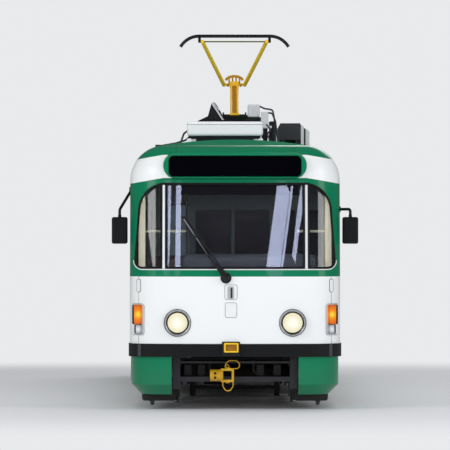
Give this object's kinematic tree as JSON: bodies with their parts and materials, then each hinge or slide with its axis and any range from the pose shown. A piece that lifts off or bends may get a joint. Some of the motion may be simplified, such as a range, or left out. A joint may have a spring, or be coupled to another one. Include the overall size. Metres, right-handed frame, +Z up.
{
  "type": "tram",
  "caption": "Single-ended electric tram car with folding doors, swivelling bogies and a half pantograph on the roof.",
  "frame": {"origin": "middle of the plan, level with the bottoms of the wheel flanges", "axes": "+Z up, the front faces -Y, +X is the tram's left-hand side"},
  "size_m": [2.936, 14.0698, 4.5644],
  "materials": {
    "body_paint": "glossy",
    "green_paint": "glossy",
    "dark_paint": "satin",
    "window_glass": "clear",
    "display_black": "glossy",
    "rubber_black": "matte",
    "lamp_rim": "polished",
    "lamp_lens": "ribbed",
    "lamp_orange": "glossy",
    "lamp_clear": "glossy",
    "coupler_yellow": "satin",
    "case_grey": "satin",
    "panto_yellow": "satin",
    "panto_black": "satin",
    "running_gear": "matte",
    "wheel_steel": "worn",
    "floor_lino": "matte",
    "tread_metal": "ribbed",
    "seat_shell": "satin",
    "rail_yellow": "glossy",
    "cab_grey": "satin"
  },
  "bodies": {
    "car_body": {"front_mask": "body_paint", "rear_mask": "body_paint", "roof": "green_paint", "wall_left": "body_paint", "wall_right": "body_paint", "skirts": "green_paint", "floor": "floor_lino", "step_treads": "tread_metal", "step_wells": "tread_metal", "sills": "running_gear", "cross_members": "running_gear", "end_frames": "running_gear", "windscreen": "window_glass", "rear_window": "window_glass", "side_windows": "window_glass", "bumpers": "rubber_black", "display_housing": "green_paint", "display_glass": "display_black", "headlamps": "lamp_rim", "headlamp_lenses": "lamp_lens", "turn_lamps": "lamp_orange", "marker_lamps": "lamp_clear", "mirrors": "rubber_black", "wiper": "panto_black", "couplers": "coupler_yellow", "trainline_socket": "coupler_yellow", "roof_boxes": "case_grey", "resistor_boxes": "dark_paint", "panto_base": "panto_black", "seats": "seat_shell", "handrails": "rail_yellow", "cab_partition": "cab_grey", "driver_desk": "cab_grey", "lifeguard": "running_gear", "underfloor_boxes": "running_gear"},
    "bogie_front": {"bogie_front": "running_gear", "motors_front": "running_gear", "rail_brakes_front": "running_gear"},
    "wheelset_front_fore": {"wheelset_front_fore": "wheel_steel"},
    "wheelset_front_aft": {"wheelset_front_aft": "wheel_steel"},
    "bogie_rear": {"bogie_rear": "running_gear", "motors_rear": "running_gear", "rail_brakes_rear": "running_gear"},
    "wheelset_rear_fore": {"wheelset_rear_fore": "wheel_steel"},
    "wheelset_rear_aft": {"wheelset_rear_aft": "wheel_steel"},
    "door_front_fore_leaf": {"door_front_fore_leaf": "body_paint"},
    "door_front_fore_wing": {"door_front_fore_wing": "body_paint"},
    "door_front_aft_leaf": {"door_front_aft_leaf": "body_paint"},
    "door_front_aft_wing": {"door_front_aft_wing": "body_paint"},
    "door_middle_fore_leaf": {"door_middle_fore_leaf": "body_paint"},
    "door_middle_fore_wing": {"door_middle_fore_wing": "body_paint"},
    "door_middle_aft_leaf": {"door_middle_aft_leaf": "body_paint"},
    "door_middle_aft_wing": {"door_middle_aft_wing": "body_paint"},
    "door_rear_fore_leaf": {"door_rear_fore_leaf": "body_paint"},
    "door_rear_fore_wing": {"door_rear_fore_wing": "body_paint"},
    "door_rear_aft_leaf": {"door_rear_aft_leaf": "body_paint"},
    "door_rear_aft_wing": {"door_rear_aft_wing": "body_paint"},
    "panto_lower_arm": {"panto_lower_arm": "panto_yellow"},
    "panto_upper_arm": {"panto_upper_arm": "panto_yellow"},
    "panto_head": {"panto_head": "panto_black"}
  },
  "joints": [
    {"name": "bogie_front_swivel", "type": "hinge", "parent": "car_body", "child": "bogie_front", "pos_m": [0, -3.2, 0.56], "axis": [0, 0, 1], "range_deg": [-10, 10]},
    {"name": "wheelset_front_fore_spin", "type": "hinge", "parent": "bogie_front", "child": "wheelset_front_fore", "pos_m": [0, -4.15, 0.372], "axis": [1, 0, 0], "continuous": true},
    {"name": "wheelset_front_aft_spin", "type": "hinge", "parent": "bogie_front", "child": "wheelset_front_aft", "pos_m": [0, -2.25, 0.372], "axis": [1, 0, 0], "continuous": true},
    {"name": "bogie_rear_swivel", "type": "hinge", "parent": "car_body", "child": "bogie_rear", "pos_m": [0, 3.2, 0.56], "axis": [0, 0, 1], "range_deg": [-10, 10]},
    {"name": "wheelset_rear_fore_spin", "type": "hinge", "parent": "bogie_rear", "child": "wheelset_rear_fore", "pos_m": [0, 2.25, 0.372], "axis": [1, 0, 0], "continuous": true},
    {"name": "wheelset_rear_aft_spin", "type": "hinge", "parent": "bogie_rear", "child": "wheelset_rear_aft", "pos_m": [0, 4.15, 0.372], "axis": [1, 0, 0], "continuous": true},
    {"name": "door_front_fore_leaf_hinge", "type": "hinge", "parent": "car_body", "child": "door_front_fore_leaf", "pos_m": [-1.208, -6.094, 1], "axis": [0, 0, -1], "range_deg": [0, 80]},
    {"name": "door_front_fore_wing_fold", "type": "hinge", "parent": "door_front_fore_leaf", "child": "door_front_fore_wing", "pos_m": [-1.244, -5.776, 1], "axis": [0, 0, -1], "range_deg": [-160, 0]},
    {"name": "door_front_aft_leaf_hinge", "type": "hinge", "parent": "car_body", "child": "door_front_aft_leaf", "pos_m": [-1.208, -4.806, 1], "axis": [0, 0, 1], "range_deg": [0, 80]},
    {"name": "door_front_aft_wing_fold", "type": "hinge", "parent": "door_front_aft_leaf", "child": "door_front_aft_wing", "pos_m": [-1.244, -5.124, 1], "axis": [0, 0, 1], "range_deg": [-160, 0]},
    {"name": "door_middle_fore_leaf_hinge", "type": "hinge", "parent": "car_body", "child": "door_middle_fore_leaf", "pos_m": [-1.208, -0.644, 1], "axis": [0, 0, -1], "range_deg": [0, 80]},
    {"name": "door_middle_fore_wing_fold", "type": "hinge", "parent": "door_middle_fore_leaf", "child": "door_middle_fore_wing", "pos_m": [-1.244, -0.326, 1], "axis": [0, 0, -1], "range_deg": [-160, 0]},
    {"name": "door_middle_aft_leaf_hinge", "type": "hinge", "parent": "car_body", "child": "door_middle_aft_leaf", "pos_m": [-1.208, 0.644, 1], "axis": [0, 0, 1], "range_deg": [0, 80]},
    {"name": "door_middle_aft_wing_fold", "type": "hinge", "parent": "door_middle_aft_leaf", "child": "door_middle_aft_wing", "pos_m": [-1.244, 0.326, 1], "axis": [0, 0, 1], "range_deg": [-160, 0]},
    {"name": "door_rear_fore_leaf_hinge", "type": "hinge", "parent": "car_body", "child": "door_rear_fore_leaf", "pos_m": [-1.208, 4.806, 1], "axis": [0, 0, -1], "range_deg": [0, 80]},
    {"name": "door_rear_fore_wing_fold", "type": "hinge", "parent": "door_rear_fore_leaf", "child": "door_rear_fore_wing", "pos_m": [-1.244, 5.124, 1], "axis": [0, 0, -1], "range_deg": [-160, 0]},
    {"name": "door_rear_aft_leaf_hinge", "type": "hinge", "parent": "car_body", "child": "door_rear_aft_leaf", "pos_m": [-1.208, 6.094, 1], "axis": [0, 0, 1], "range_deg": [0, 80]},
    {"name": "door_rear_aft_wing_fold", "type": "hinge", "parent": "door_rear_aft_leaf", "child": "door_rear_aft_wing", "pos_m": [-1.244, 5.776, 1], "axis": [0, 0, 1], "range_deg": [-160, 0]},
    {"name": "panto_lower_hinge", "type": "hinge", "parent": "car_body", "child": "panto_lower_arm", "pos_m": [0, -3.3, 3.56], "axis": [1, 0, 0], "range_deg": [-19, 25]},
    {"name": "panto_knee", "type": "hinge", "parent": "panto_lower_arm", "child": "panto_upper_arm", "pos_m": [0, -2.28154, 3.97562], "axis": [1, 0, 0], "range_deg": [-49, 37]},
    {"name": "panto_head_level", "type": "hinge", "parent": "panto_upper_arm", "child": "panto_head", "pos_m": [0, -3.5896, 4.4746], "axis": [1, 0, 0], "range_deg": [-18, 24]}
  ],
  "couplings": [
    {"joint": "door_front_fore_wing_fold", "follows": "door_front_fore_leaf_hinge", "ratio": -2},
    {"joint": "door_front_aft_wing_fold", "follows": "door_front_aft_leaf_hinge", "ratio": -2},
    {"joint": "door_middle_fore_wing_fold", "follows": "door_middle_fore_leaf_hinge", "ratio": -2},
    {"joint": "door_middle_aft_wing_fold", "follows": "door_middle_aft_leaf_hinge", "ratio": -2},
    {"joint": "door_rear_fore_wing_fold", "follows": "door_rear_fore_leaf_hinge", "ratio": -2},
    {"joint": "door_rear_aft_wing_fold", "follows": "door_rear_aft_leaf_hinge", "ratio": -2},
    {"joint": "panto_knee", "follows": "panto_lower_hinge", "ratio": -1.93},
    {"joint": "panto_head_level", "follows": "panto_lower_hinge", "ratio": 0.93}
  ]
}
